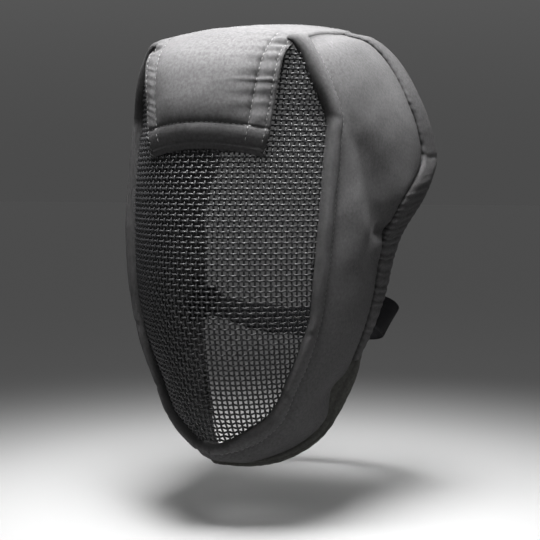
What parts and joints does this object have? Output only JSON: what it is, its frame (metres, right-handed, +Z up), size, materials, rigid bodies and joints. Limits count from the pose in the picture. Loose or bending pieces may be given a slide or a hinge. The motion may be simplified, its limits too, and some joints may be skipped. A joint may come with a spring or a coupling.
{
  "type": "mesh face mask",
  "caption": "Face mask with a woven wire bowl set in a padded cloth hood, a forehead flap over the mesh and an elastic strap round the nape, open at the back.",
  "frame": {"origin": "underside of the crown band on the middle plane, where the mask rests on the head", "axes": "+Z up, the mask faces -Y, +X is the wearer's left"},
  "size_m": [0.1766, 0.2102, 0.2855],
  "materials": {
    "wire": "black paint, worn bright on the wire crests",
    "cloth": "fine twill, matt",
    "tape": "tape of the same cloth, gathered",
    "hem_cloth": "coarser cloth, rolled",
    "webbing": "ribbed black webbing"
  },
  "bodies": {
    "root": {"face_mesh": "wire", "rim_left": "cloth", "rim_right": "cloth", "side_panel_left": "cloth", "side_panel_right": "cloth", "binding_left": "tape", "binding_right": "tape", "hem_left": "hem_cloth", "hem_right": "hem_cloth", "top_flap": "cloth", "rear_strap": "webbing"}
  },
  "joints": []
}
